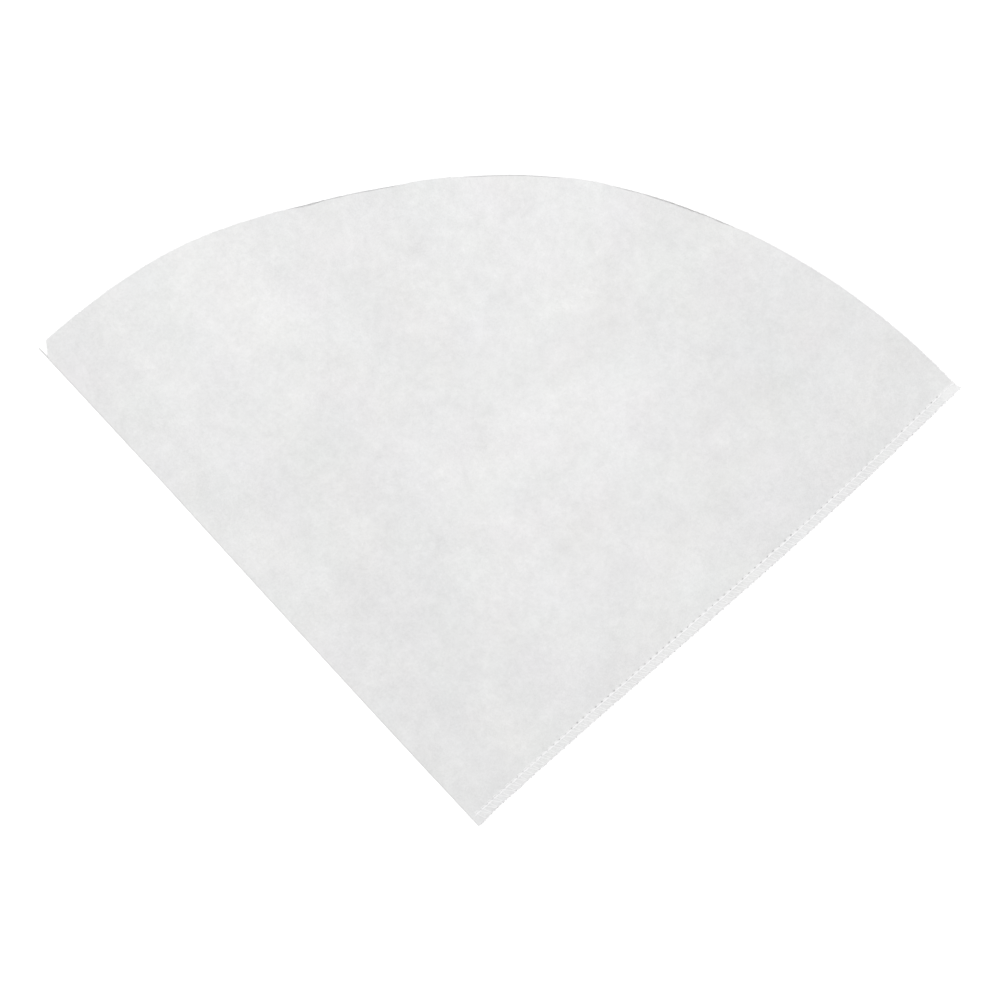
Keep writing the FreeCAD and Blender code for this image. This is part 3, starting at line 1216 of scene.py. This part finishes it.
fibre_finish, tree, shader, place = new_material("loose_fibres")
patches = noise_texture(tree, place, FIBRE_PATCH_SCALE)["Fac"]
colour = grey_level(tree, swing(tree, patches, 0.5, FIBRE_PATCH_TONE), FIBRE_COLOUR)
through = tree.nodes.new("ShaderNodeBsdfTranslucent")
mixed = tree.nodes.new("ShaderNodeMixShader")
mixed.inputs[0].default_value = FIBRE_THROUGH
tree.links.new(colour, shader.inputs["Base Color"])
tree.links.new(colour, through.inputs["Color"])
tree.links.new(shader.outputs["BSDF"], mixed.inputs[1])
tree.links.new(through.outputs["BSDF"], mixed.inputs[2])
tree.links.new(mixed.outputs["Shader"], tree.nodes["Material Output"].inputs["Surface"])
rough = math_node(tree, "ADD", 0.5, math_node(tree, "MULTIPLY", patches, 0.3))
tree.links.new(rough, shader.inputs["Roughness"])
dress((edge_fuzz, thread_hairs), fibre_finish)
print("loose fibres:", len(tree.nodes), "nodes")

# %% [markdown]
# ## Joining the frame
#
# Each new piece rides on the one body. The cloth and the three threads each stand for the
# plain CAD solid that they replace, which is hidden.

# %% Pieces and what they replace
cloth.name = "folded_cloth"
for piece, node, finish_slot in (
        (cloth, "filter_sheet", "cloth"),
        (needle_thread, "needle_thread", "thread"),
        (upper_looper, "upper_looper_thread", "thread"),
        (lower_looper, "lower_looper_thread", "thread")):
    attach(piece, "root")
    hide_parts(node)
for piece, finish_slot in ((edge_fuzz, "cloth"), (thread_hairs, "thread")):
    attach(piece, "root")

# %% [markdown]
# ## Floor and light
#
# The cone lies on a plain white table. The floor gets a little extra brightness for the
# camera alone, so it reads as white while it still keeps the shade under the cloth. It
# lies a tenth of a millimetre low, so the cloth's underside never shares its plane.

# %% Floor
FLOOR_SIZE = 6.0
FLOOR_GAP = 0.1 * MM
FLOOR_COLOUR = 0.88
FLOOR_GLOW = 0.6

floor_shape = bmesh.new()
bmesh.ops.create_grid(floor_shape, x_segments=1, y_segments=1, size=FLOOR_SIZE / 2)
bmesh.ops.translate(floor_shape, verts=floor_shape.verts[:], vec=(0, 0, -FLOOR_GAP))
floor = placed("floor", floor_shape)
floor_finish = bpy.data.materials.new("white_table")
floor_finish.use_nodes = True
tree = floor_finish.node_tree
shader = tree.nodes["Principled BSDF"]
shader.inputs["Base Color"].default_value = (*[FLOOR_COLOUR] * 3, 1)
shader.inputs["Roughness"].default_value = 1.0
shader.inputs["Specular IOR Level"].default_value = 0.0
shader.inputs["Emission Color"].default_value = (1, 1, 1, 1)
light_path = tree.nodes.new("ShaderNodeLightPath")
glow = math_node(tree, "MULTIPLY", light_path.outputs["Is Camera Ray"], FLOOR_GLOW)
tree.links.new(glow, shader.inputs["Emission Strength"])
floor.data.materials.append(floor_finish)
print("floor", FLOOR_SIZE, "m wide")

# %% [markdown]
# Most of the light is a soft, even sky. The camera sees it as plain white, though it
# lights the cloth with only three quarters of that. A small lamp almost straight above, a
# little to the left and towards the rim, gives the fibres their faint relief and makes
# the rim slightly brighter than the tip.

# %% World and lamp
WORLD_LIGHT = 0.77
LAMP_SIZE = 0.12
LAMP_POWER = 0.61
LAMP_PLACE = (-0.028, 0.10, 0.5)

world = bpy.data.worlds.new("soft_sky")
bpy.context.scene.world = world
world.use_nodes = True
tree = world.node_tree
background = tree.nodes["Background"]
rays = tree.nodes.new("ShaderNodeLightPath").outputs
seen = math_node(tree, "MAXIMUM", rays["Is Camera Ray"], rays["Is Glossy Ray"])
seen = math_node(tree, "MAXIMUM", seen, rays["Is Transmission Ray"])
extra = math_node(tree, "MULTIPLY", seen, 1 - WORLD_LIGHT)
strength = math_node(tree, "ADD", extra, WORLD_LIGHT)
tree.links.new(strength, background.inputs["Strength"])
background.inputs["Color"].default_value = (1, 1, 1, 1)

lamp_data = bpy.data.lights.new("broad_lamp", "AREA")
lamp_data.size = LAMP_SIZE
lamp_data.energy = LAMP_POWER
lamp = bpy.data.objects.new("broad_lamp", lamp_data)
lamp.location = LAMP_PLACE
bpy.context.collection.objects.link(lamp)
print("world", WORLD_LIGHT, "lamp", LAMP_POWER, "W")
